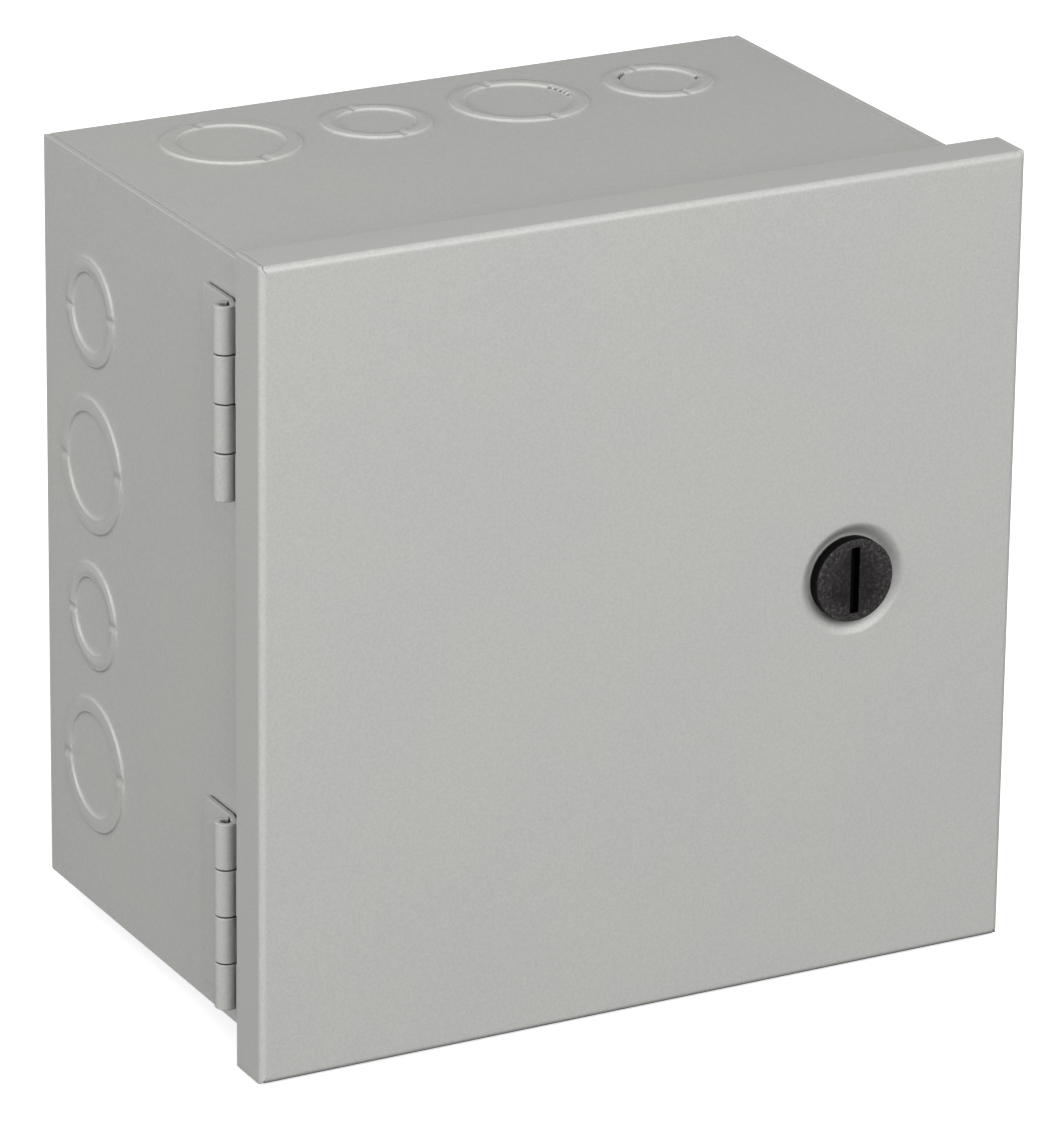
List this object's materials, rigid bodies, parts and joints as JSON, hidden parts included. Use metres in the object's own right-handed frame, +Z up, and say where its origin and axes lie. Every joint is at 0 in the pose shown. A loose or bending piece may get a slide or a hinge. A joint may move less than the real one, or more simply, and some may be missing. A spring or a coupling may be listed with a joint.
{
  "type": "residential load center",
  "caption": "Small wall-mounted sheet-steel load center: hinged cover with a slotted quarter-turn latch, conduit knockouts, a dead front and plug-on breakers inside.",
  "frame": {"origin": "centre of the back face, which bears on the wall", "axes": "+X right seen from the front, +Z up, the door faces -Y, so +Y points into the wall"},
  "size_m": [0.1621, 0.1056, 0.161],
  "materials": {
    "paint": "satin light grey powder coat, fine texture",
    "zinc": "zinc-plated steel",
    "latch_plastic": "worn charcoal moulded plastic",
    "breaker_plastic": "black thermoset",
    "insulator": "dark moulded insulator",
    "aluminium": "drawn bar, satin",
    "copper": "copper, lightly toned",
    "ground_green": "green-dyed zinc plate"
  },
  "bodies": {
    "enclosure": {"enclosure_body": "paint", "dead_front": "paint", "upper_hinge_body_leaf": "paint", "upper_hinge_pin": "zinc", "lower_hinge_body_leaf": "paint", "lower_hinge_pin": "zinc", "collar_stud_1": "zinc", "pan_nut_1": "zinc", "neutral_bar_screw_1": "zinc", "ground_bar_screw_1": "ground_green", "collar_stud_2": "zinc", "pan_nut_2": "zinc", "neutral_bar_screw_2": "zinc", "ground_bar_screw_2": "ground_green", "collar_stud_3": "zinc", "pan_nut_3": "zinc", "neutral_bar_screw_3": "zinc", "ground_bar_screw_3": "ground_green", "collar_stud_4": "zinc", "pan_nut_4": "zinc", "neutral_bar_screw_4": "zinc", "ground_bar_screw_4": "ground_green", "interior_pan": "zinc", "breaker_rail": "zinc", "bus_base": "insulator", "neutral_standoff_1": "insulator", "neutral_standoff_2": "insulator", "line_bus_1": "copper", "breaker_1_line_jaw": "copper", "line_lug_1": "aluminium", "line_lug_screw_1": "zinc", "breaker_1_load_lug": "zinc", "breaker_1_load_screw": "zinc", "breaker_1_case_upper": "breaker_plastic", "breaker_1_case_lower": "breaker_plastic", "line_bus_2": "copper", "breaker_2_line_jaw": "copper", "line_lug_2": "aluminium", "line_lug_screw_2": "zinc", "breaker_2_load_lug": "zinc", "breaker_2_load_screw": "zinc", "breaker_2_case_upper": "breaker_plastic", "breaker_2_case_lower": "breaker_plastic", "neutral_bar": "aluminium", "ground_bar": "aluminium", "dead_front_post_upper": "zinc", "dead_front_post_lower": "zinc", "dead_front_screw_upper": "zinc", "dead_front_screw_lower": "zinc"},
    "door": {"door": "paint", "upper_hinge_door_leaf": "paint", "lower_hinge_door_leaf": "paint"},
    "latch": {"latch_rotor": "latch_plastic", "latch_retainer": "zinc", "latch_cam": "zinc", "latch_cam_screw": "zinc"},
    "breaker_1_toggle": {"breaker_1_handle": "breaker_plastic"},
    "breaker_1_contact": {"breaker_1_contact_arm": "copper"},
    "breaker_2_toggle": {"breaker_2_handle": "breaker_plastic"},
    "breaker_2_contact": {"breaker_2_contact_arm": "copper"}
  },
  "joints": [
    {"name": "door_swing", "type": "hinge", "parent": "enclosure", "child": "door", "pos_m": [-0.0794, -0.0876, 0], "axis": [0, 0, -1], "range_deg": [0, 180]},
    {"name": "latch_turn", "type": "hinge", "parent": "door", "child": "latch", "pos_m": [0.045, -0.1046, 0], "axis": [0, 1, 0], "range_deg": [0, 90]},
    {"name": "breaker_1_throw", "type": "hinge", "parent": "enclosure", "child": "breaker_1_toggle", "pos_m": [0, -0.074, 0.0127], "axis": [0, 0, -1], "range_deg": [0, 40]},
    {"name": "breaker_1_close", "type": "hinge", "parent": "enclosure", "child": "breaker_1_contact", "pos_m": [0.014, -0.047, 0.0127], "axis": [0, 0, -1], "range_deg": [0, 12]},
    {"name": "breaker_2_throw", "type": "hinge", "parent": "enclosure", "child": "breaker_2_toggle", "pos_m": [0, -0.074, -0.0127], "axis": [0, 0, -1], "range_deg": [0, 40]},
    {"name": "breaker_2_close", "type": "hinge", "parent": "enclosure", "child": "breaker_2_contact", "pos_m": [0.014, -0.047, -0.0127], "axis": [0, 0, -1], "range_deg": [0, 12]}
  ],
  "couplings": [
    {"joint": "breaker_1_close", "follows": "breaker_1_throw", "ratio": 0.3},
    {"joint": "breaker_2_close", "follows": "breaker_2_throw", "ratio": 0.3}
  ]
}
